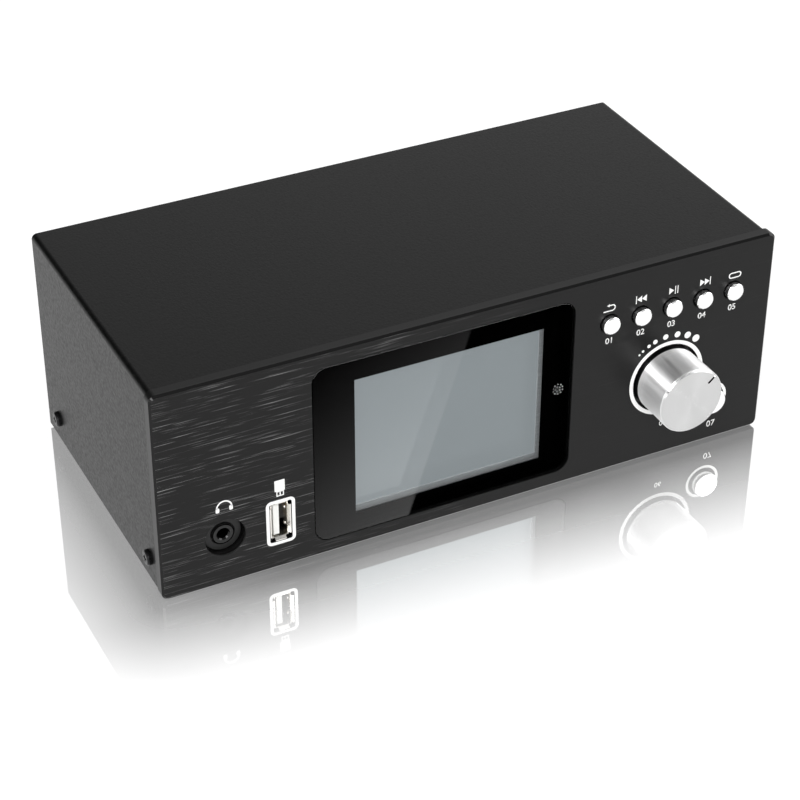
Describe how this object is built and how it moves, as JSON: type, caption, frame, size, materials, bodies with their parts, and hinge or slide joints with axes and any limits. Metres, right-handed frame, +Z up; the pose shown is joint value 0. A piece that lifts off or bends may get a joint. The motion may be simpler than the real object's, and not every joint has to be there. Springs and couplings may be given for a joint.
{
  "type": "digital music player",
  "caption": "Desktop digital music player: low black case with a thick front panel that carries a display, push buttons, a volume knob, a USB socket and a headphone socket.",
  "frame": {"origin": "on the desk, below the middle of the bounding box", "axes": "+X to the right as seen from the front, +Y to the rear sockets, +Z up"},
  "size_m": [0.2164, 0.1296, 0.0751],
  "materials": {
    "panel_black": "brushed, black anodised",
    "cover_black": "black film with a fine leather grain on steel",
    "tray_steel": "zinc plated sheet",
    "plate_black": "satin black powder coat",
    "screw_black": "black oxide",
    "screw_zinc": "zinc plated",
    "rubber_black": "matt",
    "window_glass": "polished",
    "mask_black": "black print on film",
    "bezel_steel": "stamped stainless sheet",
    "screen_grey": "unlit screen under a polariser",
    "guide_white": "clear acrylic on a white film",
    "foam_grey": "closed-cell foam",
    "ribbon_amber": "polyimide",
    "receiver_black": "dark moulded lens",
    "switch_black": "moulded",
    "button_chrome": "polished plate",
    "knob_aluminium": "turned and lacquered",
    "encoder_metal": "nickel plated",
    "usb_steel": "tin plated sheet",
    "tongue_white": "moulded",
    "contact_gold": "gold plated",
    "nose_black": "moulded",
    "board_green": "green solder mask",
    "capacitor_black": "sleeved can",
    "heatsink_black": "black anodised extrusion",
    "ribbon_grey": "flat cable",
    "phono_gold": "gold plated",
    "insulator_black": "moulded"
  },
  "bodies": {
    "root": {"front_panel": "panel_black", "top_cover": "cover_black", "chassis_tray": "tray_steel", "front_plate": "plate_black", "rear_panel": "plate_black", "cover_screws": "screw_black", "panel_screws": "screw_zinc", "rear_screws": "screw_black", "rubber_feet": "rubber_black", "display_window": "window_glass", "display_mask": "mask_black", "display_bezel": "bezel_steel", "display_cell": "screen_grey", "display_light_guide": "guide_white", "display_pad": "foam_grey", "display_ribbon": "ribbon_amber", "remote_receiver": "receiver_black", "tact_switches": "switch_black", "encoder_body": "encoder_metal", "encoder_bush": "encoder_metal", "encoder_washer": "encoder_metal", "encoder_nut": "encoder_metal", "usb_shell": "usb_steel", "usb_tongue": "tongue_white", "usb_contacts": "contact_gold", "headphone_nose": "nose_black", "headphone_body": "switch_black", "headphone_springs": "contact_gold", "control_board": "board_green", "control_spacers": "screw_zinc", "control_screws": "screw_zinc", "main_board": "board_green", "board_standoffs": "screw_zinc", "board_screws": "screw_zinc", "capacitors": "capacitor_black", "board_chips": "switch_black", "heatsink": "heatsink_black", "board_cable": "ribbon_grey", "phono_body": "switch_black", "phono_barrels": "phono_gold", "phono_insulators": "insulator_black", "power_inlet": "switch_black", "inlet_pin": "encoder_metal"},
    "rotor": {"encoder_rotor": "switch_black"},
    "knob": {"volume_knob": "knob_aluminium", "knob_core": "switch_black", "encoder_shaft": "encoder_metal"},
    "click": {"click_plunger": "encoder_metal"},
    "power_key": {"power_button": "button_chrome", "power_plunger": "switch_black"},
    "key_1": {"button_1": "button_chrome", "switch_plunger_1": "switch_black"},
    "key_2": {"button_2": "button_chrome", "switch_plunger_2": "switch_black"},
    "key_3": {"button_3": "button_chrome", "switch_plunger_3": "switch_black"},
    "key_4": {"button_4": "button_chrome", "switch_plunger_4": "switch_black"},
    "key_5": {"button_5": "button_chrome", "switch_plunger_5": "switch_black"}
  },
  "joints": [
    {"name": "knob_turn", "type": "hinge", "parent": "root", "child": "rotor", "pos_m": [0.06944, -0.04925, 0.03047], "axis": [0, 1, 0], "continuous": true},
    {"name": "knob_press", "type": "slide", "parent": "rotor", "child": "knob", "axis": [0, 1, 0], "range_m": [0, 0.0005], "stiffness_N_per_m": 4000},
    {"name": "click_follow", "type": "slide", "parent": "root", "child": "click", "axis": [0, 1, 0], "range_m": [0, 0.0005]},
    {"name": "power_press", "type": "slide", "parent": "root", "child": "power_key", "axis": [0, 1, 0], "range_m": [0, 0.0005], "stiffness_N_per_m": 1500},
    {"name": "key_1_press", "type": "slide", "parent": "root", "child": "key_1", "axis": [0, 1, 0], "range_m": [0, 0.0005], "stiffness_N_per_m": 1500},
    {"name": "key_2_press", "type": "slide", "parent": "root", "child": "key_2", "axis": [0, 1, 0], "range_m": [0, 0.0005], "stiffness_N_per_m": 1500},
    {"name": "key_3_press", "type": "slide", "parent": "root", "child": "key_3", "axis": [0, 1, 0], "range_m": [0, 0.0005], "stiffness_N_per_m": 1500},
    {"name": "key_4_press", "type": "slide", "parent": "root", "child": "key_4", "axis": [0, 1, 0], "range_m": [0, 0.0005], "stiffness_N_per_m": 1500},
    {"name": "key_5_press", "type": "slide", "parent": "root", "child": "key_5", "axis": [0, 1, 0], "range_m": [0, 0.0005], "stiffness_N_per_m": 1500}
  ],
  "couplings": [
    {"joint": "click_follow", "follows": "knob_press", "ratio": 1}
  ]
}
